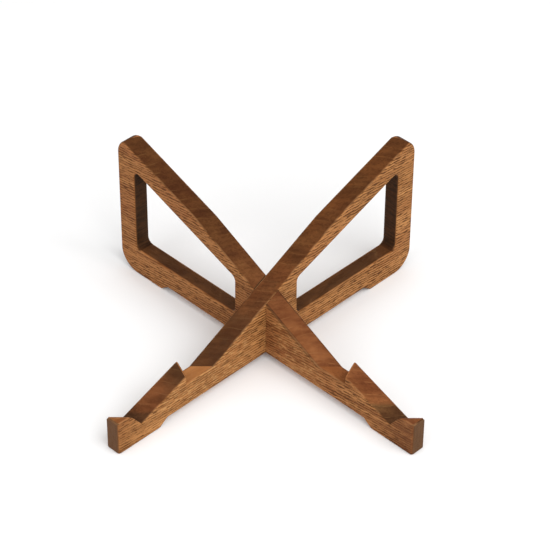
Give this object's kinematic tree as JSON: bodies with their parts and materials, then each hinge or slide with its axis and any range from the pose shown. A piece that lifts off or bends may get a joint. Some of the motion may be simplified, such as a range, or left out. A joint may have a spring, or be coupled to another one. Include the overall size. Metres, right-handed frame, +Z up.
{
  "type": "tablet stand",
  "caption": "Free-standing wooden tablet stand: crossed boards on edge that slot together, with front ledges for a steep and a flat tablet angle and tall windowed rear ends.",
  "frame": {"origin": "on the table, straight under the line where the boards cross, which is the middle of the footprint", "axes": "+Z up; the tablet faces -Y and leans back towards +Y; +X is to the right of someone looking at the tablet"},
  "size_m": [0.2234, 0.222, 0.121],
  "materials": {
    "upper_board_wood": "oiled hardwood, satin",
    "lower_board_wood": "oiled hardwood, satin"
  },
  "bodies": {
    "lower": {"lower_board": "lower_board_wood"},
    "upper": {"upper_board": "upper_board_wood"}
  },
  "joints": [
    {"name": "lift_off", "type": "slide", "parent": "lower", "child": "upper", "axis": [0, 0, 1], "range_m": [0, 0.062]}
  ]
}
